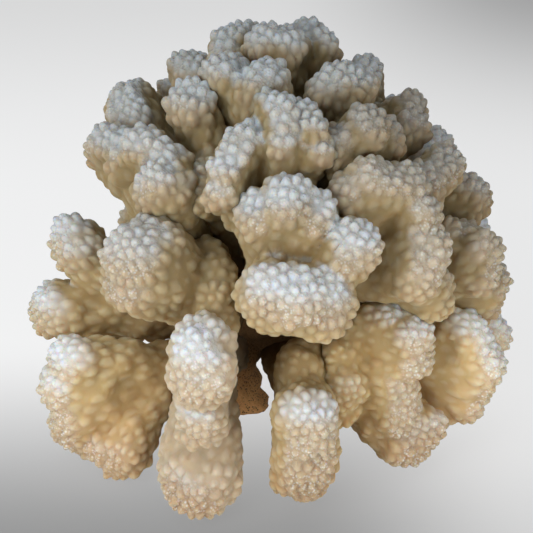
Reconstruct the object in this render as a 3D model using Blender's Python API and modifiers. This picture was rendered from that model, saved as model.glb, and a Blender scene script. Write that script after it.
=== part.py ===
"""Cauliflower coral: a bleached, dome-shaped colony of blunt branches on a short broken-off foot.

Units are metres and +Z is up. The origin is the middle of the flat cut where the foot was broken
off its rock. A heading turns about the vertical from the front (-Y) towards the right (+X), a rise
is the angle above the horizontal, and both are in degrees. Each branch is its own solid: it leaves
the trunk, swells into one or more blunt lobes, and is covered in coarse lumps.
"""
import math

import bmesh
import bpy
from mathutils import Matrix, Vector
from mathutils.bvhtree import BVHTree

MM = 0.001

# ---- Driving dimensions -------------------------------------------------------------------------
GROWTH_CENTRE = Vector((12, 2, 36)) * MM     # where the lines of growth of all branches meet
STEM_RADIUS = 11.0 * MM                      # a branch at its fork
STEM_TAPER = 0.6                             # its radius towards the growth centre, as a share
LOBE_NECK = 0.45                             # spread of a lobe's ridges where it leaves its branch
LOBE_FLARE = 1.2                             # above 1 a lobe stays slim for longer, then spreads
NECK_THICKNESS = 0.78                        # thickness of a lobe's neck, as a share of its rim's
RIDGE_SPACING = 0.85                         # between neighbouring ridges, in half thicknesses
RIM_ROUNDING = 0.5                           # how far a lobe's corners fall back from its rim
RIM_WAVE = 1.3 * MM                          # unevenness of the rim
BALLS_PER_RIDGE = 10

SKIN_VOXEL = 2.4 * MM
SKIN_SMOOTHING = 8
LUMP_HEIGHT = 1.8 * MM
VALLEY_DEPTH = 0.5 * MM
BRANCH_CAGE_FACES = 57                       # triangles of a one-lobed branch before its lumps
EXTRA_LOBE_FACES = 12
TRUNK_CAGE_FACES = 100
GAP = 0.35 * MM                              # clearance between neighbouring solids

# ---- Trunk: (centre, half sizes), in millimetres --------------------------------------------------
TRUNK_BLOBS = (
    ((0, 0, -5), (14.5, 15, 13)),            # flare of the foot above the cut
    ((-1, 0, 8), (10.5, 12, 14)),
    ((-1, 1, 22), (10, 12, 14)),             # neck
    ((7, 3, 38), (17, 18, 11)),
    ((-3, -12, 38), (15, 24, 13)),
    ((13, 3, 56), (38, 36, 27)),             # heart of the colony, where the branches part
)

# ---- Branches ---------------------------------------------------------------------------------
# name: (fork, lobes). The fork is (heading, rise, reach) and a lobe is
# (heading, rise, reach, breadth, thickness, roll); lengths are in millimetres, measured from the
# growth centre. Roll turns the breadth from level (0) to upright (90).
BRANCHES = {
    "front_left_blade": ((-27, 6, 52), (
        (-12.4, 21, 115, 36, 26, 90), (-13.4, 6, 103, 34, 22, 90), (-14.8, -16.4, 105, 35, 27, 0))),
    "front_blade": ((15, 0, 50), (
        (8.6, 3.5, 105, 32, 26, 90), (8.6, -8, 103, 32, 26, 90), (8.6, -17.4, 95, 30, 25, 90),
        (11.5, 15, 72, 34, 23, 90))),
    "crown_front": ((7, 38, 70), (
        (5, 50, 127, 40, 25, 0), (22, 40, 124, 26, 22, 60), (7, 31, 123, 45, 29, -12))),
    "front_right_plate": ((34, 4, 46), (
        (42, 20, 96, 38, 22, 90), (40, -2, 90, 46, 22, 90),
        (24, 6, 80, 36, 20, 90), (46, -15, 95, 32, 23, 50))),
    "left_low_plate": ((-48, -2, 56), (
        (-54, 2, 109, 44, 25, 90), (-57, -12, 104, 34, 24, 90), (-43, -18, 98, 28, 22, 0))),
    "left_front_lobe": ((-28, 35, 62), ((-33, 37, 121, 40, 31, 90), (-14, 36, 92, 42, 20, 90))),
    "right_shoulder": ((38, 42, 66), (
        (34, 51, 127, 41, 21, -8), (43, 43, 122, 24, 20, 60),
        (40, 34, 120, 34, 24, 70), (46, 26, 108, 24, 19, 90))),
    "right_fan": ((60, 2, 60), (
        (59, 8, 108, 40, 21, 90), (61, -8, 100, 38, 21, 90), (74, 6, 103, 36, 19, 90))),
    "top_front": ((0, 60, 70), (
        (-11, 57, 128, 42, 17, 80), (5, 65, 133, 36, 16, 90), (16, 64, 131, 36, 14, 90))),
    "left_finger": ((-74, 14, 58), ((-74, 13, 102, 28, 25, 0), (-77, 33, 102, 30, 23, 0))),
    "left_shoulder": ((-42, 48, 66), (
        (-44, 57, 127, 38, 21, 15), (-32, 52, 122, 26, 20, 30), (-69, 55, 121, 28, 21, 60))),
    "right_plate": ((66, 26, 62), ((62, 31, 116, 36, 21, 90), (67, 21, 111, 34, 21, 90))),
    "right_upper_plate": ((66, 46, 66), ((58, 49, 123, 34, 20, 10), (79, 38, 115, 26, 19, 90))),
    "top_right_front": ((44, 61, 70), ((36, 60, 131, 38, 21, 0), (80, 60, 123, 30, 19, 10))),
    "top_left_column": ((-34, 63, 70), ((-37, 68, 131, 22, 22, 0), (-25, 58, 111, 30, 18, 90))),
    "top_left": ((-18, 76, 76), ((-30, 75, 133, 24, 22, 0), (-1, 73, 133, 26, 23, 0))),
    "top": ((60, 86, 76), (
        (14, 84, 137, 28, 22, 0), (114, 81, 135, 34, 19, 0), (-125, 82, 132, 36, 19, 0))),
    "top_right": ((66, 73, 70), (
        (47, 71, 132, 30, 23, 0), (98, 70, 124, 26, 19, 0), (140, 72, 117, 28, 20, 0))),
    "left_back_shoulder": ((-92, 60, 68), ((-91, 61, 123, 42, 22, 0), (-114, 55, 110, 34, 22, 60))),
    "top_left_back": ((-125, 72, 70), ((-104, 74, 125, 28, 19, 0), (-140, 64, 119, 38, 23, 0))),
    "back_top": ((172, 62, 66), ((155, 62, 120, 38, 24, 0), (-172, 53, 116, 42, 26, 30))),
    "back_right_shoulder": ((116, 50, 62), ((130, 47, 115, 42, 25, 90), (104, 45, 111, 34, 22, 0))),
    "right_back_plate": ((94, 20, 60), ((97, 24, 105, 40, 23, 90), (88, 12, 101, 32, 20, 90))),
    "right_low_back": ((108, -8, 56), ((115, 1, 100, 40, 24, 90), (101, -20.5, 88, 30, 22, 0))),
    "back_right": ((136, 20, 60), ((131, 22, 107, 46, 25, 90), (146, 4, 99, 40, 24, 90))),
    "back": ((176, 28, 62), ((166, 34, 112, 42, 26, 60), (-176, 20, 106, 44, 25, 60))),
    "back_low": ((174, -5, 56), ((169, -10, 94, 34, 24, 0), (-176, -6, 90, 30, 22, 60))),
    "back_left": ((-152, 30, 60), ((-148, 36, 109, 44, 26, 60), (-158, 18, 104, 38, 24, 90))),
    "back_left_low": ((-143, -3, 56), ((-139, -3, 99, 40, 25, 90), (-155, -13, 91, 32, 23, 0))),
    "left_back_middle": ((-128, 26, 56), (
        (-134, 36, 80, 34, 24, 30), (-136, 18, 92, 40, 24, 90), (-112, 18, 74, 28, 22, 0))),
    "left_back_plate": ((-110, -2, 56), ((-112, 2, 92, 36, 23, 60), (-94, -8, 83, 28, 22, 0))),
}


def clear_scene():
    for thing in list(bpy.data.objects):
        bpy.data.objects.remove(thing, do_unlink=True)


def new_collection(name):
    collection = bpy.data.collections.new(name)
    bpy.context.scene.collection.children.link(collection)
    return collection


def coral_material(name, colour):
    material = bpy.data.materials.new(name)
    material.use_nodes = True
    shader = material.node_tree.nodes["Principled BSDF"]
    shader.inputs["Base Color"].default_value = (*colour, 1.0)
    shader.inputs["Roughness"].default_value = 0.75
    shader.inputs["Metallic"].default_value = 0.0
    material.diffuse_color = (*colour, 1.0)
    return material


# ---- Lines of growth ----------------------------------------------------------------------------
def growth_direction(heading, rise):
    turn, lift = math.radians(heading), math.radians(rise)
    return Vector((math.sin(turn) * math.cos(lift), -math.cos(turn) * math.cos(lift), math.sin(lift)))


def growth_point(heading, rise, reach):
    return GROWTH_CENTRE + growth_direction(heading, rise) * reach * MM


def lobe_blobs(fork, lobe):
    """Balls from the fork to a blunt rim: side by side ridges that spread into a plate."""
    heading, rise, reach, breadth, thickness, roll = lobe
    tip = growth_point(heading, rise, reach)
    onward = (tip - fork).normalized()
    level = Vector((0, 0, 1)).cross(onward).normalized()
    upright = onward.cross(level)
    turn = math.radians(roll)
    across = level * math.cos(turn) + upright * math.sin(turn)
    radius = thickness * MM / 2
    spread = max(breadth * MM / 2 - radius, 0)
    ridges = 1 + 2 * math.ceil(spread / (RIDGE_SPACING * radius))
    blobs = []
    for ridge in range(ridges):
        side = 2 * ridge / (ridges - 1) - 1 if ridges > 1 else 0
        drop = side * side * spread * RIM_ROUNDING + RIM_WAVE * math.sin(9 * side + heading)
        run = (tip - fork).length - radius - drop
        for step in range(BALLS_PER_RIDGE):
            share = step / (BALLS_PER_RIDGE - 1)
            flare = LOBE_NECK + (1 - LOBE_NECK) * share ** LOBE_FLARE
            centre = fork + onward * run * share + across * spread * side * flare
            size = radius * (NECK_THICKNESS + (1 - NECK_THICKNESS) * share)
            blobs.append((centre, (size, size, size)))
    return blobs


def stem_blobs(fork):
    """Balls from the heart of the trunk out to the fork."""
    blobs = []
    for share in (0.4, 0.55, 0.7, 0.85, 1.0):
        size = STEM_RADIUS * (STEM_TAPER + (1 - STEM_TAPER) * share)
        blobs.append((GROWTH_CENTRE.lerp(fork, share), (size, size, size)))
    return blobs


def branch_blobs(fork_place, lobes):
    fork = growth_point(*fork_place)
    blobs = stem_blobs(fork)
    for lobe in lobes:
        blobs += lobe_blobs(fork, lobe)
    return blobs


def trunk_blobs():
    return [(Vector(centre) * MM, Vector(half_sizes) * MM) for centre, half_sizes in TRUNK_BLOBS]


# ---- From blobs to a lumpy solid ------------------------------------------------------------------
def evaluated_mesh(thing):
    bpy.context.view_layer.update()
    graph = bpy.context.evaluated_depsgraph_get()
    return bpy.data.meshes.new_from_object(thing.evaluated_get(graph))


def apply_modifiers(thing):
    mesh = evaluated_mesh(thing)
    thing.modifiers.clear()
    thing.data = mesh


def grown_skin(name, blobs, collection):
    """One smooth closed skin around all the blobs."""
    shape = bmesh.new()
    for centre, half_sizes in blobs:
        place = Matrix.Translation(centre) @ Matrix.Diagonal((*half_sizes, 1.0))
        bmesh.ops.create_icosphere(shape, subdivisions=2, radius=1.0, matrix=place)
    mesh = bpy.data.meshes.new(name)
    shape.to_mesh(mesh)
    shape.free()
    thing = bpy.data.objects.new(name, mesh)
    collection.objects.link(thing)
    remesh = thing.modifiers.new("skin", "REMESH")
    remesh.mode = "VOXEL"
    remesh.voxel_size = SKIN_VOXEL
    smooth = thing.modifiers.new("smooth", "SMOOTH")
    smooth.iterations = SKIN_SMOOTHING
    apply_modifiers(thing)
    return thing


def reduce_to(thing, faces):
    """Collapse the skin to a coarse cage of triangles."""
    triangles = sum(len(face.vertices) - 2 for face in thing.data.polygons)
    decimate = thing.modifiers.new("cage", "DECIMATE")
    decimate.ratio = faces / triangles
    decimate.use_collapse_triangulate = True
    apply_modifiers(thing)


def raise_lumps(thing, skin):
    """Turn every corner of the cage into a rounded lump, ringed by valleys.

    A point is added in the middle of each triangle and the cage's own edges are turned to join
    those points, so each corner stands alone among six triangles.
    """
    shape = bmesh.new()
    shape.from_mesh(thing.data)
    peaks = set(shape.verts)
    cage_edges = list(shape.edges)
    bmesh.ops.poke(shape, faces=list(shape.faces))
    bmesh.ops.rotate_edges(shape, edges=cage_edges, use_ccw=False)
    for vert in shape.verts:
        place, normal, _, _ = skin.find_nearest(vert.co)
        lift = LUMP_HEIGHT - VALLEY_DEPTH if vert in peaks else -VALLEY_DEPTH
        vert.co = place + normal * lift
    bmesh.ops.recalc_face_normals(shape, faces=list(shape.faces))
    shape.to_mesh(thing.data)
    shape.free()


def lumpy_solid(name, blobs, cage_faces, collection, material):
    thing = grown_skin(name, blobs, collection)
    shape = bmesh.new()
    shape.from_mesh(thing.data)
    skin = BVHTree.FromBMesh(shape)
    shape.free()
    reduce_to(thing, cage_faces)
    raise_lumps(thing, skin)
    thing.data.materials.clear()
    thing.data.materials.append(material)
    return thing


# ---- Fitting the solids to each other ---------------------------------------------------------------
def swollen_copy(thing, collection):
    """A wire-drawn copy that is larger all over by the gap between solids."""
    cutter = bpy.data.objects.new("clear_of_" + thing.name, thing.data.copy())
    collection.objects.link(cutter)
    swell = cutter.modifiers.new("swell", "DISPLACE")
    swell.mid_level = 0.0
    swell.strength = GAP
    apply_modifiers(cutter)
    cutter.hide_render = True
    cutter.display_type = "WIRE"
    return cutter


def subtract(thing, cutter):
    cut = thing.modifiers.new("cut", "BOOLEAN")
    cut.operation = "DIFFERENCE"
    cut.solver = "EXACT"
    cut.object = cutter
    apply_modifiers(thing)


def keep_largest_piece(thing):
    """Drop the crumbs that a cut can leave beside the branch."""
    shape = bmesh.new()
    shape.from_mesh(thing.data)
    unseen = set(shape.verts)
    pieces = []
    while unseen:
        piece, edge_of_search = set(), [unseen.pop()]
        while edge_of_search:
            vert = edge_of_search.pop()
            piece.add(vert)
            for link in vert.link_edges:
                other = link.other_vert(vert)
                if other in unseen:
                    unseen.remove(other)
                    edge_of_search.append(other)
        pieces.append(piece)
    largest = max(pieces, key=len)
    crumbs = [vert for vert in shape.verts if vert not in largest]
    bmesh.ops.delete(shape, geom=crumbs, context="VERTS")
    shape.to_mesh(thing.data)
    shape.free()


def boxes_meet(first, second):
    low_a, high_a = box_of(first)
    low_b, high_b = box_of(second)
    return all(low_a[i] < high_b[i] and low_b[i] < high_a[i] for i in range(3))


def box_of(thing):
    corners = [vert.co for vert in thing.data.vertices]
    low = [min(corner[i] for corner in corners) for i in range(3)]
    high = [max(corner[i] for corner in corners) for i in range(3)]
    return low, high


def ground_cutter(collection):
    """A block below the level of the cut."""
    size = 400 * MM
    shape = bmesh.new()
    bmesh.ops.create_cube(shape, size=size, matrix=Matrix.Translation((0, 0, -size / 2)))
    mesh = bpy.data.meshes.new("rock_level")
    shape.to_mesh(mesh)
    shape.free()
    cutter = bpy.data.objects.new("rock_level", mesh)
    collection.objects.link(cutter)
    cutter.hide_render = True
    cutter.display_type = "WIRE"
    return cutter


def build():
    clear_scene()
    coral = new_collection("cauliflower_coral")
    cutters = new_collection("cutters")
    cutters.hide_render = True
    trunk = lumpy_solid("trunk", trunk_blobs(), TRUNK_CAGE_FACES, coral,
                        coral_material("brown_skeleton", (0.28, 0.16, 0.08)))
    clearances = [swollen_copy(trunk, cutters)]
    subtract(trunk, ground_cutter(cutters))
    keep_largest_piece(trunk)
    cream = (0.72, 0.66, 0.54)
    for name, (fork_place, lobes) in BRANCHES.items():
        faces = BRANCH_CAGE_FACES + EXTRA_LOBE_FACES * (len(lobes) - 1)
        branch = lumpy_solid(name, branch_blobs(fork_place, lobes), faces, coral,
                             coral_material(name + "_skeleton", cream))
        clearance = swollen_copy(branch, cutters)
        for neighbour in clearances:
            if boxes_meet(branch, neighbour):
                subtract(branch, neighbour)
        keep_largest_piece(branch)
        clearances.append(clearance)


build()
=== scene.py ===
"""Looks of the cauliflower coral: fine lumpy skins for the trunk and all branches, and a studio.

Units are metres. Each piece grows along the same lines as its solid: balls along ridges make a
smooth skin, and lumps (verrucae) are then raised all over it.
"""

import math

import bmesh
import bpy
import numpy as np
from mathutils import Matrix, Vector
from mathutils.kdtree import KDTree


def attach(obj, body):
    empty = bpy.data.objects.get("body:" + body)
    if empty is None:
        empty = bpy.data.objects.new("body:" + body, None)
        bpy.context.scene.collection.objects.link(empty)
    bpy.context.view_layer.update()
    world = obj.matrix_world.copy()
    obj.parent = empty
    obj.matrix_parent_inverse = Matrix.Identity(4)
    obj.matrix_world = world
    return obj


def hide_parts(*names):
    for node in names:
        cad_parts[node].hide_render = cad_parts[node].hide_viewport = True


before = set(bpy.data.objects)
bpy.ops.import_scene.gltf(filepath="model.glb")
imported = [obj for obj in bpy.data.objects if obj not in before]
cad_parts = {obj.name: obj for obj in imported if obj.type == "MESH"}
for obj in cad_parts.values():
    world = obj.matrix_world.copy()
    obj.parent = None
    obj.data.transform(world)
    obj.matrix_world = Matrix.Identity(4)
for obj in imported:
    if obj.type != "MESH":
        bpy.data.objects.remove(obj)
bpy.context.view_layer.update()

MM = 0.001

# ---- Growth of the colony, as in the solids ------------------------------------------------------
GROWTH_CENTRE = Vector((12, 2, 36)) * MM     # where the lines of growth of all branches meet
STEM_RADIUS = 11.0 * MM                      # a branch at its fork
STEM_TAPER = 0.6                             # its radius towards the growth centre, as a share
STEM_STEPS = (0.4, 0.55, 0.7, 0.85, 1.0)     # its balls, from the growth centre (0) to the fork (1)
LOBE_NECK = 0.45                             # spread of a lobe's ridges where it leaves its branch
LOBE_FLARE = 1.2                             # above 1 a lobe stays slim for longer, then spreads
NECK_THICKNESS = 0.78                        # thickness of a lobe's neck, as a share of its rim's
RIDGE_SPACING = 0.85                         # between neighbouring ridges, in half thicknesses
RIM_ROUNDING = 0.5                           # how far a lobe's corners fall back from its rim
RIM_WAVE = 1.3 * MM                          # unevenness of the rim
RIM_WAVE_PACE = 9                            # radians from the middle of the rim to its corner
BALLS_PER_RIDGE = 10

TRUNK_BLOBS = (                              # (centre, half sizes) in millimetres
    ((0, 0, -5), (14.5, 15, 13)),
    ((-1, 0, 8), (10.5, 12, 14)),
    ((-1, 1, 22), (10, 12, 14)),
    ((7, 3, 38), (17, 18, 11)),
    ((-3, -12, 38), (15, 24, 13)),
    ((13, 3, 56), (38, 36, 27)),
)

# ---- Branches ------------------------------------------------------------------------------------
# name: (fork, lobes). The fork is (heading, rise, reach) and a lobe is
# (heading, rise, reach, breadth, thickness, roll); lengths are in millimetres, measured from the
# growth centre. Roll turns the breadth from level (0) to upright (90).
BRANCHES = {
    "front_left_blade": ((-27, 6, 52), (
        (-12.4, 21, 115, 36, 26, 90), (-13.4, 6, 103, 34, 22, 90), (-14.8, -16.4, 105, 35, 27, 0))),
    "front_blade": ((15, 0, 50), (
        (8.6, 3.5, 105, 32, 26, 90), (8.6, -8, 103, 32, 26, 90), (8.6, -17.4, 95, 30, 25, 90),
        (11.5, 15, 72, 34, 23, 90))),
    "crown_front": ((7, 38, 70), (
        (5, 50, 127, 40, 25, 0), (22, 40, 124, 26, 22, 60), (7, 31, 123, 45, 29, -12))),
    "front_right_plate": ((34, 4, 46), (
        (42, 20, 96, 38, 22, 90), (40, -2, 90, 46, 22, 90),
        (24, 6, 80, 36, 20, 90), (46, -15, 95, 32, 23, 50))),
    "left_low_plate": ((-48, -2, 56), (
        (-54, 2, 109, 44, 25, 90), (-57, -12, 104, 34, 24, 90), (-43, -18, 98, 28, 22, 0))),
    "left_front_lobe": ((-28, 35, 62), ((-33, 37, 121, 40, 31, 90), (-14, 36, 92, 42, 20, 90))),
    "right_shoulder": ((38, 42, 66), (
        (34, 51, 127, 41, 21, -8), (43, 43, 122, 24, 20, 60),
        (40, 34, 120, 34, 24, 70), (46, 26, 108, 24, 19, 90))),
    "right_fan": ((60, 2, 60), (
        (59, 8, 108, 40, 21, 90), (61, -8, 100, 38, 21, 90), (74, 6, 103, 36, 19, 90))),
    "top_front": ((0, 60, 70), (
        (-11, 57, 128, 42, 17, 80), (5, 65, 133, 36, 16, 90), (16, 64, 131, 36, 14, 90))),
    "left_finger": ((-74, 14, 58), ((-74, 13, 102, 28, 25, 0), (-77, 33, 102, 30, 23, 0))),
    "left_shoulder": ((-42, 48, 66), (
        (-44, 57, 127, 38, 21, 15), (-32, 52, 122, 26, 20, 30), (-69, 55, 121, 28, 21, 60))),
    "right_plate": ((66, 26, 62), ((62, 31, 116, 36, 21, 90), (67, 21, 111, 34, 21, 90))),
    "right_upper_plate": ((66, 46, 66), ((58, 49, 123, 34, 20, 10), (79, 38, 115, 26, 19, 90))),
    "top_right_front": ((44, 61, 70), ((36, 60, 131, 38, 21, 0), (80, 60, 123, 30, 19, 10))),
    "top_left_column": ((-34, 63, 70), ((-37, 68, 131, 22, 22, 0), (-25, 58, 111, 30, 18, 90))),
    "top_left": ((-18, 76, 76), ((-30, 75, 133, 24, 22, 0), (-1, 73, 133, 26, 23, 0))),
    "top": ((60, 86, 76), (
        (14, 84, 137, 28, 22, 0), (114, 81, 135, 34, 19, 0), (-125, 82, 132, 36, 19, 0))),
    "top_right": ((66, 73, 70), (
        (47, 71, 132, 30, 23, 0), (98, 70, 124, 26, 19, 0), (140, 72, 117, 28, 20, 0))),
    "left_back_shoulder": ((-92, 60, 68), ((-91, 61, 123, 42, 22, 0), (-114, 55, 110, 34, 22, 60))),
    "top_left_back": ((-125, 72, 70), ((-104, 74, 125, 28, 19, 0), (-140, 64, 119, 38, 23, 0))),
    "back_top": ((172, 62, 66), ((155, 62, 120, 38, 24, 0), (-172, 53, 116, 42, 26, 30))),
    "back_right_shoulder": ((116, 50, 62), ((130, 47, 115, 42, 25, 90), (104, 45, 111, 34, 22, 0))),
    "right_back_plate": ((94, 20, 60), ((97, 24, 105, 40, 23, 90), (88, 12, 101, 32, 20, 90))),
    "right_low_back": ((108, -8, 56), ((115, 1, 100, 40, 24, 90), (101, -20.5, 88, 30, 22, 0))),
    "back_right": ((136, 20, 60), ((131, 22, 107, 46, 25, 90), (146, 4, 99, 40, 24, 90))),
    "back": ((176, 28, 62), ((166, 34, 112, 42, 26, 60), (-176, 20, 106, 44, 25, 60))),
    "back_low": ((174, -5, 56), ((169, -10, 94, 34, 24, 0), (-176, -6, 90, 30, 22, 60))),
    "back_left": ((-152, 30, 60), ((-148, 36, 109, 44, 26, 60), (-158, 18, 104, 38, 24, 90))),
    "back_left_low": ((-143, -3, 56), ((-139, -3, 99, 40, 25, 90), (-155, -13, 91, 32, 23, 0))),
    "left_back_middle": ((-128, 26, 56), (
        (-134, 36, 80, 34, 24, 30), (-136, 18, 92, 40, 24, 90), (-112, 18, 74, 28, 22, 0))),
    "left_back_plate": ((-110, -2, 56), ((-112, 2, 92, 36, 23, 60), (-94, -8, 83, 28, 22, 0))),
}

# ---- Fine skin -----------------------------------------------------------------------------------
BALL_SHRINK = 1.0 * MM                       # the balls leave room for the lumps that stand on them
BALL_DETAIL = 3
SKIN_VOXEL = 1.35 * MM
SKIN_SMOOTHING = 7
TRIANGLES_KEPT = 0.5                         # of those of the lumpy skin
TRUNK_TRIANGLES_KEPT = 0.25
COLONY_CENTRE = np.array((15, 0, 65)) * MM
COLONY_RADIUS = 100 * MM
RIM_BLUR_STEPS = 40                          # how far a skin is blurred to find its convex rims
RIM_BULGE = (0.6 * MM, 2.2 * MM)             # bulge of a flat face, and of a full rim
RIM_REACH = (0.55, 0.85)                     # how far out a branch its rims begin, and are complete
TIP_REACH = (0.75, 0.93)                     # the same for its tip
TIP_FACING = (0.3, 0.85)                     # how far its skin turns from a side face to the tip
UNEVENNESS = 0.9 * MM
UNEVEN_LENGTHS = (17 * MM, 9 * MM)           # of the long swells, and of others half as high
TRUNK_REACH = 100 * MM

# ---- Lumps: (on a flat face, on a rim or tip) ----------------------------------------------------
LUMP_SPACING = (4.0 * MM, 2.9 * MM)
LUMP_SPREAD = (1.3, 1.6)                     # width, as a share of the spacing
LUMP_HEIGHT = (0.42, 1.15)                   # height, as a share of half the spacing
LUMP_SOFTNESS = (1.25, 1.3)                  # 1 for sharp creases between lumps, more for soft ones
LUMP_STEEPNESS = 0.45                        # 0 for a plain swelling, 1 for upright sides
LUMP_LENGTHENING = 0.4                       # 0 for round lumps, more for ones drawn out outwards
LUMP_LEAN = 0.65                             # how far lumps lean out along the growth
LUMP_VARIATION = 0.42                        # of their sizes, either way
DEEP = (0.25, 0.6)                           # depth where lumps begin to shrink, and are lowest
DEEP_LUMPS = 0.6                             # height of the lowest ones, as a share
GRAIN = 0.1 * MM                             # height of the fine roughness on and between the lumps
GRAIN_LENGTH = 2.6 * MM
TRUNK_RELIEF = (0.3, 0.3)                    # height of its lumps, as a share
FACE_RELIEF = {                              # branches whose faces are smoother than the others
    "right_fan": 0.2,
    "right_shoulder": 0.45,
    "left_low_plate": 0.8,
    "right_plate": 0.6,
}

# ---- Colours: (between the lumps, on the lumps), or one colour or tint ---------------------------
# Painted shade: each pair is darker between the lumps than on them, as shade in the creases; the
# golden of the faces is their own.
FACE = ((0.50, 0.365, 0.18), (0.54, 0.425, 0.25))
# Painted shade and warm bounce light: tan tips where they face down or are near the floor.
SHADED_LOW_TIP = ((0.45, 0.315, 0.195), (0.465, 0.335, 0.22))
LEVEL_TIP = ((0.545, 0.44, 0.305), (0.555, 0.455, 0.335))
# Painted sky light: upward tips paler and bluer, bluest on the lump tops.
SKYLIT_TIP = ((0.655, 0.66, 0.65), (0.685, 0.715, 0.755))
# Painted shade in the dents of the skin.
DENT_SHADE = (0.42, 0.26, 0.10)
# Painted shade on the faces towards the heart of the colony.
INNER_FACE_SHADE = (0.23, 0.14, 0.055)
# Painted sparkle: pale specks on the tips.
SPARKLE_SPECK = (0.76, 0.74, 0.70)
# Painted shade deep in the heart of the colony, partly its own darker brown.
HEART_SHADE = (0.10, 0.055, 0.025)
# Painted warm bounce light: faces pinker near the floor.
WARM_BOUNCE_TINT = (1.0, 0.92, 0.95)
# Painted shade: faces darker and greyer higher up.
HIGH_FACE_SHADE_TINT = (0.84, 0.86, 0.9)
# Painted shade at the crown, partly a greyer tone of its own.
CROWN_SHADE_TINT = (0.66, 0.665, 0.65)
FOOT_BROWNS = ((0.80, 0.38, 0.13), (0.95, 0.54, 0.22))
PORE = (0.12, 0.06, 0.025)
# Painted shade in the trunk's heart, partly its own darker brown.
HEART_SHADE_BROWN = (0.16, 0.09, 0.035)
PLAIN_LOOK = (1.0, 1.0)
LOOKS = {                                    # how pale a branch is, and how white its tips are, partly by painted sky light
    "left_low_plate": (1.1, 1.0),
    "right_fan": (1.3, 0.75),
    "front_right_plate": (1.1, 0.7),
    "left_shoulder": (0.96, 0.9),
    "left_front_lobe": (0.87, 0.75),
    "right_shoulder": (0.98, 0.35),
    "right_upper_plate": (0.86, 0.5),
    "right_plate": (0.96, 0.2),
    "left_finger": (1.05, 0.9),
    "top_right_front": (0.83, 0.45),
    "front_blade": (0.95, 1.1),
    "front_left_blade": (0.98, 1.35),
    "crown_front": (0.95, 1.14),
}

# ---- Camera, lamps and floor ---------------------------------------------------------------------
CAMERA_TARGET = Vector((12, 0, 65)) * MM
CAMERA_RISE = 25                             # degrees above the horizon
CAMERA_DISTANCE = 0.6
CAMERA_LENS = 96.45                          # focal length in millimetres, on a sensor 36 wide

LAMP_TARGET = (0.012, -0.02, 0.06)
LAMPS = {                                    # place, size, watts and colour
    "key": ((-0.27, -0.42, 0.24), 0.35, 1.6, (0.98, 0.99, 1.0)),
    "fill": ((0.27, -0.42, 0.05), 0.35, 1.1, (1.0, 0.98, 0.95)),
    "sky": ((-0.2, -0.35, 1.0), 0.9, 2.6, (0.80, 0.90, 1.0)),
}
SURROUNDINGS = (0.94, 0.97, 1.0, 1.0)
SURROUNDINGS_STRENGTH = 0.2

FLOOR_SIZE = 6.0
FLOOR_COLOUR = (0.75, 0.74, 0.72)            # as the coral sees it
FLOOR_NEAR_LEFT = (0.31, 0.98)               # painted shade: greys in the picture, at the front and further back
FLOOR_NEAR_RIGHT = (0.62, 0.93)
FLOOR_FAR = (0.80, 0.42)                     # painted shade: greys in the picture, on the left and on the right
FLOOR_LIT_SHARE = 0.2                        # how much of the floor in the picture shows the lamps


# ---- Lines of growth -----------------------------------------------------------------------------
def growth_direction(heading, rise):
    turn, lift = math.radians(heading), math.radians(rise)
    level = math.cos(lift)
    return Vector((math.sin(turn) * level, -math.cos(turn) * level, math.sin(lift)))


def growth_point(heading, rise, reach):
    return GROWTH_CENTRE + growth_direction(heading, rise) * reach * MM


def lobe_balls(fork, lobe):
    """Balls from the fork to a blunt rim: side by side ridges that spread into a plate."""
    heading, rise, reach, breadth, thickness, roll = lobe
    tip = growth_point(heading, rise, reach)
    onward = (tip - fork).normalized()
    level = Vector((0, 0, 1)).cross(onward).normalized()
    upright = onward.cross(level)
    turn = math.radians(roll)
    across = level * math.cos(turn) + upright * math.sin(turn)
    radius = thickness * MM / 2
    spread = max(breadth * MM / 2 - radius, 0)
    ridges = 1 + 2 * math.ceil(spread / (RIDGE_SPACING * radius))
    balls = []
    for ridge in range(ridges):
        side = 2 * ridge / (ridges - 1) - 1 if ridges > 1 else 0
        wave = RIM_WAVE * math.sin(RIM_WAVE_PACE * side + heading)
        drop = side * side * spread * RIM_ROUNDING + wave
        run = (tip - fork).length - radius - drop
        for step in range(BALLS_PER_RIDGE):
            share = step / (BALLS_PER_RIDGE - 1)
            flare = LOBE_NECK + (1 - LOBE_NECK) * share ** LOBE_FLARE
            centre = fork + onward * run * share + across * spread * side * flare
            size = radius * (NECK_THICKNESS + (1 - NECK_THICKNESS) * share) - BALL_SHRINK
            balls.append((centre, (size, size, size)))
    return balls


def branch_balls(fork_place, lobes):
    fork = growth_point(*fork_place)
    balls = []
    for share in STEM_STEPS:
        size = STEM_RADIUS * (STEM_TAPER + (1 - STEM_TAPER) * share)
        balls.append((GROWTH_CENTRE.lerp(fork, share), (size, size, size)))
    for lobe in lobes:
        balls += lobe_balls(fork, lobe)
    return balls


def trunk_balls():
    return [(Vector(centre) * MM, Vector(half_sizes) * MM) for centre, half_sizes in TRUNK_BLOBS]


# ---- Meshes --------------------------------------------------------------------------------------
def bake_modifiers(piece):
    bpy.context.view_layer.update()
    graph = bpy.context.evaluated_depsgraph_get()
    mesh = bpy.data.meshes.new_from_object(piece.evaluated_get(graph))
    piece.modifiers.clear()
    piece.data = mesh


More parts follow.
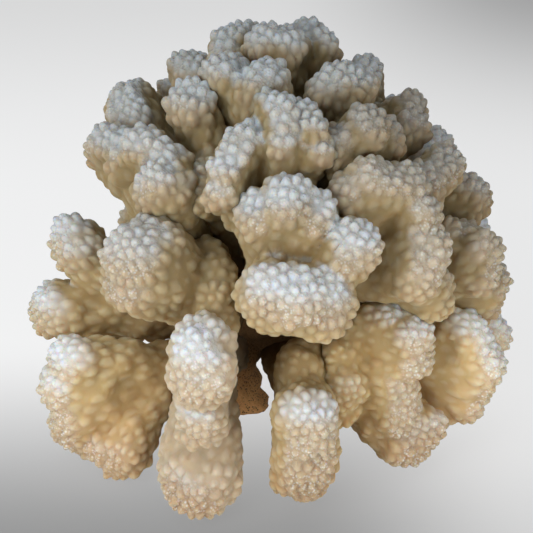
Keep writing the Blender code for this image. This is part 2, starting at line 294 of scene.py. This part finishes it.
def smooth_skin(name, balls):
    """One smooth closed skin round all the balls."""
    shape = bmesh.new()
    for centre, half_sizes in balls:
        place = Matrix.Translation(centre) @ Matrix.Diagonal((*half_sizes, 1.0))
        bmesh.ops.create_icosphere(shape, subdivisions=BALL_DETAIL, radius=1.0, matrix=place)
    mesh = bpy.data.meshes.new(name)
    shape.to_mesh(mesh)
    shape.free()
    piece = bpy.data.objects.new(name, mesh)
    bpy.context.scene.collection.objects.link(piece)
    remesh = piece.modifiers.new("skin", "REMESH")
    remesh.mode = "VOXEL"
    remesh.voxel_size = SKIN_VOXEL
    smooth = piece.modifiers.new("smooth", "SMOOTH")
    smooth.iterations = SKIN_SMOOTHING
    bake_modifiers(piece)
    return piece


def points_of(mesh):
    points = np.empty(len(mesh.vertices) * 3, np.float32)
    mesh.vertices.foreach_get("co", points)
    return points.reshape(-1, 3).astype(float)


def normals_of(mesh):
    normals = np.empty(len(mesh.vertices) * 3, np.float32)
    mesh.vertex_normals.foreach_get("vector", normals)
    return normals.reshape(-1, 3).astype(float)


def move_points(mesh, points):
    mesh.vertices.foreach_set("co", points.astype(np.float32).ravel())
    mesh.update()


def store(mesh, name, values):
    attribute = mesh.attributes.get(name) or mesh.attributes.new(name, "FLOAT", "POINT")
    attribute.data.foreach_set("value", values.astype(np.float32))


def smoothstep(low, high, values):
    share = np.clip((values - low) / (high - low), 0, 1)
    return share * share * (3 - 2 * share)


def between(pair, share):
    return pair[0] + (pair[1] - pair[0]) * share


def waves(points, length, count, seed):
    """Smooth unevenness from -1 to 1: waves that cross in random directions."""
    random = np.random.default_rng(seed)
    directions = random.normal(size=(count, 3))
    directions /= np.linalg.norm(directions, axis=1)[:, None]
    lengths = length * random.uniform(0.7, 1.4, count)
    starts = random.uniform(0, 7, count)
    phases = points @ (directions * (2 * math.pi / lengths)[:, None]).T + starts
    return np.sin(phases).sum(axis=1) / math.sqrt(count)


def bulge_of(mesh):
    """How far each point stands out over the blurred skin: much on rims, little on faces."""
    points, normals = points_of(mesh), normals_of(mesh)
    edges = np.empty(len(mesh.edges) * 2, np.int32)
    mesh.edges.foreach_get("vertices", edges)
    ends = edges.reshape(-1, 2)
    starts = np.concatenate((ends[:, 0], ends[:, 1]))
    others = np.concatenate((ends[:, 1], ends[:, 0]))
    degree = np.maximum(np.bincount(starts, minlength=len(points)), 1)
    blurred = points.copy()
    for _ in range(RIM_BLUR_STEPS):
        for axis in range(3):
            total = np.bincount(starts, weights=blurred[others, axis], minlength=len(points))
            blurred[:, axis] = total / degree
    return ((points - blurred) * normals).sum(axis=1)


def distance_from_growth(points):
    return np.linalg.norm(points - np.array(GROWTH_CENTRE), axis=1)


def depth_of(points):
    """0 on the round of the colony, 1 at its centre."""
    return 1 - np.linalg.norm(points - COLONY_CENTRE, axis=1) / COLONY_RADIUS


# ---- Lumps ---------------------------------------------------------------------------------------
def shortened(points):
    """The same points squeezed along the lines of growth: round lumps there are long ones here."""
    distance = distance_from_growth(points)[:, None]
    return (points - np.array(GROWTH_CENTRE)) * (distance / COLONY_RADIUS) ** -LUMP_LENGTHENING


def tree_of(points):
    tree = KDTree(len(points))
    for index, point in enumerate(shortened(points)):
        tree.insert(point, index)
    tree.balance()
    return tree


def scatter(mesh, spacing, random):
    """Random points of the skin, no two of them nearer to each other than the local spacing."""
    points = points_of(mesh)
    corners = np.empty(len(mesh.polygons) * 4, np.int32)
    mesh.polygons.foreach_get("vertices", corners)
    corners = corners.reshape(-1, 4)
    wanted = 3 * len(corners) // 2
    faces = corners[random.integers(0, len(corners), wanted)]
    across, along = random.random(wanted)[:, None], random.random(wanted)[:, None]
    near = points[faces[:, 0]] * (1 - across) + points[faces[:, 1]] * across
    far = points[faces[:, 3]] * (1 - across) + points[faces[:, 2]] * across
    places = near * (1 - along) + far * along
    local = spacing[faces[:, 0]]
    tree = tree_of(places)
    free = np.ones(wanted, bool)
    chosen = []
    for index, place in enumerate(shortened(places)):
        if free[index]:
            chosen.append(index)
            for _, other, _ in tree.find_range(place, local[index]):
                free[other] = False
    return places[chosen], faces[chosen, 0]


def raise_lumps(mesh, seeds, widths, heights, softness, leans):
    """Swell the skin round each seed into a rounded lump. Lumps stop where they meet another."""
    points, normals = points_of(mesh), normals_of(mesh)
    tree = tree_of(seeds)
    nearest = np.empty(len(points), np.int32)
    first, second = np.empty(len(points)), np.empty(len(points))
    for index, point in enumerate(shortened(points)):
        (_, nearest[index], first[index]), (_, _, second[index]) = tree.find_n(point, 2)
    share = np.minimum(np.maximum(2 * first / (first + second), first / widths[nearest]), 1)
    swell = np.sin(share * math.pi / 2)
    lift = np.maximum(np.cos(share * math.pi / 2), 0) ** softness[nearest]
    offset = points - seeds[nearest]
    offset -= normals * (offset * normals).sum(axis=1)[:, None]
    stretch = np.where(share < 1, swell / np.maximum(share, 1e-6) - 1, 0) * LUMP_STEEPNESS
    direction = normals + leans[nearest]
    direction /= np.linalg.norm(direction, axis=1)[:, None]
    points += offset * stretch[:, None] + direction * (heights[nearest] * lift)[:, None]
    return points, lift


def grow_lumps(piece, reach, relief, random, kept):
    """Turn a smooth skin into the fine lumpy one, with what its material needs on its points."""
    mesh = piece.data
    points, normals = points_of(mesh), normals_of(mesh)
    bulge = bulge_of(mesh)
    far = distance_from_growth(points) / reach
    outward = (points - np.array(GROWTH_CENTRE)) / distance_from_growth(points)[:, None]
    facing = (normals * outward).sum(axis=1)
    tip = smoothstep(*TIP_REACH, far) * smoothstep(*TIP_FACING, facing)
    outer = np.maximum(smoothstep(*RIM_BULGE, bulge) * smoothstep(*RIM_REACH, far), tip)
    long_swells = waves(points, UNEVEN_LENGTHS[0], count=9, seed=5)
    short_swells = waves(points, UNEVEN_LENGTHS[1], count=9, seed=6)
    points += normals * (UNEVENNESS * (long_swells + 0.5 * short_swells))[:, None]
    move_points(mesh, points)
    store(mesh, "reach", far)
    store(mesh, "bulge", bulge / MM)
    store(mesh, "tip", tip)
    store(mesh, "upward", normals[:, 2])
    deep = smoothstep(*DEEP, depth_of(points))
    spacing = between(LUMP_SPACING, outer)
    seeds, owners = scatter(mesh, spacing, random)
    size = 1 + LUMP_VARIATION * (2 * random.random(len(seeds)) - 1)
    half = spacing[owners] / 2 * size
    there = outer[owners]
    widths = half * between(LUMP_SPREAD, there)
    heights = half * between(LUMP_HEIGHT, there) * between(relief, there)
    heights *= between((1, DEEP_LUMPS), deep[owners])
    softness = between(LUMP_SOFTNESS, there)
    leans = outward[owners] * LUMP_LEAN
    finer = piece.modifiers.new("finer", "SUBSURF")
    finer.levels = 1
    finer.render_levels = 1
    bake_modifiers(piece)
    mesh = piece.data
    points, lift = raise_lumps(mesh, seeds, widths, heights, softness, leans)
    grain = waves(points, GRAIN_LENGTH, count=12, seed=7)
    points += normals_of(mesh) * (GRAIN * grain)[:, None]
    move_points(mesh, points)
    store(mesh, "lump", lift)
    store(mesh, "depth", depth_of(points))
    fewer = piece.modifiers.new("fewer", "DECIMATE")
    fewer.ratio = kept
    bake_modifiers(piece)
    piece.data.shade_smooth()


def grow_piece(name, balls, reach, relief, kept, look, material, seed):
    piece = smooth_skin(name + "_skin", balls)
    grow_lumps(piece, reach, relief, np.random.default_rng(seed), kept)
    for attribute, amount in zip(("tone", "frost_and_skylight"), look):
        store(piece.data, attribute, np.full(len(piece.data.vertices), amount))
    piece.data.materials.clear()
    piece.data.materials.append(material)
    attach(piece, "root")
    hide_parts(name)
    return piece


def cut_level(mesh):
    """Cut the foot off flat at z = 0 and close the cut."""
    shape = bmesh.new()
    shape.from_mesh(mesh)
    everything = shape.verts[:] + shape.edges[:] + shape.faces[:]
    bmesh.ops.bisect_plane(shape, geom=everything, plane_co=(0, 0, 0), plane_no=(0, 0, 1),
                           clear_inner=True)
    open_edges = [edge for edge in shape.edges if edge.is_boundary]
    base = bmesh.ops.edgeloop_fill(shape, edges=open_edges)["faces"]
    bmesh.ops.triangulate(shape, faces=base)
    bmesh.ops.recalc_face_normals(shape, faces=shape.faces[:])
    shape.to_mesh(mesh)
    shape.free()


def grow_trunk():
    trunk = grow_piece("trunk", trunk_balls(), TRUNK_REACH, TRUNK_RELIEF, TRUNK_TRIANGLES_KEPT,
                       PLAIN_LOOK, brown_skeleton(), seed=1)
    cut_level(trunk.data)


def grow_branches():
    material = bleached_skeleton()
    for number, (name, (fork_place, lobes)) in enumerate(BRANCHES.items()):
        reach = max(lobe[2] for lobe in lobes) * MM
        relief = (FACE_RELIEF.get(name, 1.0), 1.0)
        look = LOOKS.get(name, PLAIN_LOOK)
        grow_piece(name, branch_balls(fork_place, lobes), reach, relief, TRIANGLES_KEPT, look,
                   material, seed=100 + number)


# ---- Materials -----------------------------------------------------------------------------------
class Graph:
    """Short ways to add shader nodes and join them."""

    def __init__(self, name):
        self.material = bpy.data.materials.new(name)
        self.material.use_nodes = True
        self.tree = self.material.node_tree
        self.shader = self.tree.nodes["Principled BSDF"]

    def node(self, kind, inputs=None, **settings):
        node = self.tree.nodes.new(kind)
        for key, value in settings.items():
            setattr(node, key, value)
        for key, value in (inputs or {}).items():
            self.put(node.inputs[key], value)
        return node

    def put(self, socket, value):
        if isinstance(value, bpy.types.NodeSocket):
            self.tree.links.new(value, socket)
        elif isinstance(value, tuple) and len(value) == 3 and socket.type == "RGBA":
            socket.default_value = (*value, 1.0)
        else:
            socket.default_value = value

    def attribute(self, name):
        return self.node("ShaderNodeAttribute", attribute_name=name).outputs["Fac"]

    def maths(self, operation, first, second):
        return self.node("ShaderNodeMath", {0: first, 1: second}, operation=operation).outputs[0]

    def times(self, first, second):
        return self.maths("MULTIPLY", first, second)

    def ramp(self, value, low, high, start=0.0, end=1.0):
        """Smoothly from start, where the value is low, to end, where it is high."""
        inputs = {"Value": value, "From Min": low, "From Max": high, "To Min": start, "To Max": end}
        node = self.node("ShaderNodeMapRange", inputs, interpolation_type="SMOOTHSTEP")
        return node.outputs["Result"]

    def mix(self, share, first, second, blend="MIX"):
        node = self.node("ShaderNodeMix", {"Factor": share}, data_type="RGBA", blend_type=blend)
        self.put(node.inputs[6], first)
        self.put(node.inputs[7], second)
        return node.outputs[2]

    def tint(self, share, colour, tint):
        return self.mix(share, colour, tint, "MULTIPLY")

    def noise(self, scale):
        inputs = {"Vector": self.place(), "Scale": scale, "Detail": 3.0}
        return self.node("ShaderNodeTexNoise", inputs).outputs["Fac"]

    def cells(self, scale):
        """Distance to the middle of the nearest of many small random cells."""
        inputs = {"Vector": self.place(), "Scale": scale}
        return self.node("ShaderNodeTexVoronoi", inputs).outputs["Distance"]

    def place(self):
        return self.node("ShaderNodeTexCoord").outputs["Object"]

    def split_place(self):
        split = self.node("ShaderNodeSeparateXYZ", {"Vector": self.place()})
        return split.outputs["X"], split.outputs["Y"], split.outputs["Z"]

    def bump(self, height, distance, strength):
        inputs = {"Height": height, "Distance": distance, "Strength": strength}
        normal = self.node("ShaderNodeBump", inputs).outputs["Normal"]
        self.put(self.shader.inputs["Normal"], normal)


def face_colour(graph, low_down, height, level_tips):
    """Golden faces with paler lumps. Painted shade darkens them between the lumps, in dents,
    towards the heart and higher up towards the crown, where they also turn greyer; painted warm
    bounce light tints them pinker near the floor.
    """
    # Painted shade in the creases: darker between the lumps than on them.
    colour = graph.mix(graph.ramp(graph.attribute("lump"), 0.1, 0.9), *FACE)
    # Painted shade: darker where the skin is dented in.
    dents = graph.ramp(graph.attribute("bulge"), 0.2, -1.0, 0.0, 0.5)
    colour = graph.mix(dents, colour, DENT_SHADE)
    # Painted shade: faces darken towards the heart.
    inner = graph.ramp(graph.attribute("reach"), 0.72, 0.45, 0.0, 0.75)
    colour = graph.mix(inner, colour, INNER_FACE_SHADE)
    # Painted warm bounce light: faces pinker near the floor.
    colour = graph.tint(low_down, colour, WARM_BOUNCE_TINT)
    # Painted shade: faces darker and greyer higher up.
    colour = graph.tint(graph.ramp(height, 0.03, 0.09), colour, HIGH_FACE_SHADE_TINT)
    frosted_all_over = graph.ramp(graph.attribute("frost_and_skylight"), 1.15, 1.3, 0.0, 0.9)
    return graph.mix(frosted_all_over, colour, level_tips)


def tip_colour(graph, low_down, level_tips):
    """Cream tips where they face level; tan where painted shade and warm bounce light fall on them
    facing down or near the floor; white where painted sky light falls on them facing up.
    """
    lump, upward = graph.attribute("lump"), graph.attribute("upward")
    # Painted shade and warm bounce light: tips turn tan where they face down or are near the floor.
    shaded_low_tips = graph.mix(graph.ramp(lump, 0.0, 0.7), *SHADED_LOW_TIP)
    # Painted sky light: white-blue tips, bluest on the lump tops.
    skylit_tips = graph.mix(graph.ramp(lump, 0.0, 0.6), *SKYLIT_TIP)
    under = graph.maths("MAXIMUM", graph.ramp(upward, 0.0, -0.7), low_down)
    colour = graph.mix(under, level_tips, shaded_low_tips)
    # Painted sky light: tips turn white where they face up, less so near the floor.
    whiter = graph.times(graph.ramp(upward, 0.05, 0.75), graph.ramp(low_down, 1.0, 0.0, 0.2, 1.0))
    return graph.mix(graph.times(whiter, graph.attribute("frost_and_skylight")), colour, skylit_tips)


def bleached_skeleton():
    """Golden faces and paler rims and tips. Painted sky light makes the upward tips white; painted
    shade and warm bounce light make the lower tips tan; painted shade makes the hollows dark brown
    and the crown darker and greyer, partly their own colour.
    """
    graph = Graph("bleached_skeleton")
    _, y, z = graph.split_place()
    tip = graph.attribute("tip")
    # Near the floor, where the painted warm bounce light and shade go.
    low_down = graph.ramp(z, 0.045, 0.005)
    height = graph.maths("ADD", z, graph.times(y, 0.3))
    # Painted shade in the creases: a little darker between the lumps.
    level_tips = graph.mix(graph.ramp(graph.attribute("lump"), 0.0, 0.7), *LEVEL_TIP)
    face = face_colour(graph, low_down, height, level_tips)
    tips = tip_colour(graph, low_down, level_tips)

    full_rim = graph.ramp(graph.attribute("bulge"), 1.0, 2.4)
    rim = graph.times(full_rim, graph.ramp(graph.attribute("reach"), 0.72, 0.95))
    outer = graph.maths("MAXIMUM", graph.ramp(tip, 0.2, 1.0), rim)
    patches = graph.ramp(graph.noise(70), 0.3, 0.6, 0.75, 1.0)
    colour = graph.mix(graph.times(outer, patches), face, tips)

    grains = graph.cells(800)
    # Painted sparkle: pale specks in patches on the tips.
    sparkle_patches = graph.times(graph.ramp(graph.noise(120), 0.35, 0.6), graph.ramp(tip, 0.5, 1.0))
    specks = graph.times(graph.ramp(grains, 0.15, 0.55, 0.75, 0.0), sparkle_patches)
    colour = graph.mix(specks, colour, SPARKLE_SPECK)
    # Painted shade: darker deep in the heart of the colony and more so low down, partly its own
    # darker brown.
    deep = graph.ramp(graph.attribute("depth"), 0.35, 0.75)
    deep = graph.times(deep, graph.ramp(z, 0.1, 0.06, 0.3, 1.0))
    colour = graph.mix(deep, colour, HEART_SHADE)
    # Painted shade: the crown darker and greyer, partly its own tone.
    colour = graph.tint(graph.ramp(height, 0.04, 0.16), colour, CROWN_SHADE_TINT)

    tone = graph.attribute("tone")
    tone = graph.node("ShaderNodeCombineColor", {"Red": tone, "Green": tone, "Blue": tone})
    colour = graph.tint(1.0, colour, tone.outputs["Color"])
    graph.put(graph.shader.inputs["Base Color"], colour)
    graph.shader.inputs["Roughness"].default_value = 0.8
    graph.shader.inputs["Specular IOR Level"].default_value = 0.12
    graph.shader.inputs["Subsurface Weight"].default_value = 0.85
    graph.shader.inputs["Subsurface Radius"].default_value = (1.0, 0.65, 0.4)
    graph.shader.inputs["Subsurface Scale"].default_value = 9.0 * MM
    relief = graph.times(graph.ramp(grains, 0.0, 0.8, 1.0, 0.0), graph.ramp(tip, 0.1, 0.9))
    graph.bump(relief, 0.3 * MM, 1.0)
    return graph.material


def brown_skeleton():
    """Bare brown foot, riddled with fine dark pores."""
    graph = Graph("brown_skeleton")
    pores = graph.cells(900)
    colour = graph.mix(graph.noise(60), *FOOT_BROWNS)
    colour = graph.mix(graph.ramp(pores, 0.1, 0.45), PORE, colour)
    # Painted shade: darker brown towards the heart of the colony, partly its own brown.
    colour = graph.mix(graph.ramp(graph.attribute("depth"), 0.3, 0.7), colour, HEART_SHADE_BROWN)
    graph.put(graph.shader.inputs["Base Color"], colour)
    graph.shader.inputs["Roughness"].default_value = 0.85
    graph.bump(pores, 0.6 * MM, 0.8)
    return graph.material


# ---- Studio --------------------------------------------------------------------------------------
def greys(pair):
    return [(level, level, level) for level in pair]


def studio_floor():
    """Pale floor with painted shade that darkens it towards the near side and the far right; for
    the camera it glows with these greys.
    """
    bpy.ops.mesh.primitive_plane_add(size=FLOOR_SIZE, location=(0, 0, 0))
    floor = bpy.context.object
    floor.name = "studio_floor"
    graph = Graph("studio_floor")
    x, y, _ = graph.split_place()
    # Painted shade on the floor: greys darker at the front and towards the far right.
    near_left = graph.mix(graph.ramp(y, -0.12, 0.06), *greys(FLOOR_NEAR_LEFT))
    near_right = graph.mix(graph.ramp(y, -0.16, 0.02), *greys(FLOOR_NEAR_RIGHT))
    colour = graph.mix(graph.ramp(x, 0.02, 0.12), near_left, near_right)
    far = graph.mix(graph.ramp(x, 0.0, 0.26), *greys(FLOOR_FAR))
    colour = graph.mix(graph.ramp(y, 0.22, 0.75), colour, far)
    shown = graph.node("ShaderNodeEmission", {"Color": colour, "Strength": 1.0}).outputs[0]
    lit = graph.node("ShaderNodeBsdfDiffuse", {"Color": colour}).outputs[0]
    plain = graph.node("ShaderNodeBsdfDiffuse", {"Color": FLOOR_COLOUR}).outputs[0]
    seen = graph.node("ShaderNodeMixShader", {0: FLOOR_LIT_SHARE, 1: shown, 2: lit}).outputs[0]
    camera_ray = graph.node("ShaderNodeLightPath").outputs["Is Camera Ray"]
    both = graph.node("ShaderNodeMixShader", {0: camera_ray, 1: plain, 2: seen}).outputs[0]
    graph.put(graph.tree.nodes["Material Output"].inputs["Surface"], both)
    graph.tree.nodes.remove(graph.shader)
    floor.data.materials.append(graph.material)


def soft_lamp(name, place, size, power, colour):
    lamp = bpy.data.lights.new(name, "AREA")
    lamp.shape = "DISK"
    lamp.size = size
    lamp.energy = power
    lamp.color = colour
    holder = bpy.data.objects.new(name, lamp)
    holder.location = place
    holder.visible_camera = False
    towards = Vector(LAMP_TARGET) - Vector(place)
    holder.rotation_euler = towards.to_track_quat("-Z", "Y").to_euler()
    bpy.context.scene.collection.objects.link(holder)


def studio_lights():
    for name, (place, size, power, colour) in LAMPS.items():
        soft_lamp(name, place, size, power, colour)
    world = bpy.data.worlds.new("studio")
    world.use_nodes = True
    background = world.node_tree.nodes["Background"]
    background.inputs["Color"].default_value = SURROUNDINGS
    background.inputs["Strength"].default_value = SURROUNDINGS_STRENGTH
    bpy.context.scene.world = world


def camera():
    lens = bpy.data.cameras.new("camera")
    lens.sensor_width = 36.0
    lens.lens = CAMERA_LENS
    lens.clip_start = 0.01
    holder = bpy.data.objects.new("camera", lens)
    lift = math.radians(CAMERA_RISE)
    back = Vector((0, -math.cos(lift), math.sin(lift)))
    holder.location = CAMERA_TARGET + back * CAMERA_DISTANCE
    holder.rotation_euler = (math.pi / 2 - lift, 0, 0)
    bpy.context.scene.collection.objects.link(holder)
    bpy.context.scene.camera = holder


grow_trunk()
grow_branches()
studio_floor()
studio_lights()
camera()
bpy.context.scene.view_settings.view_transform = "Standard"

bpy.context.view_layer.update()
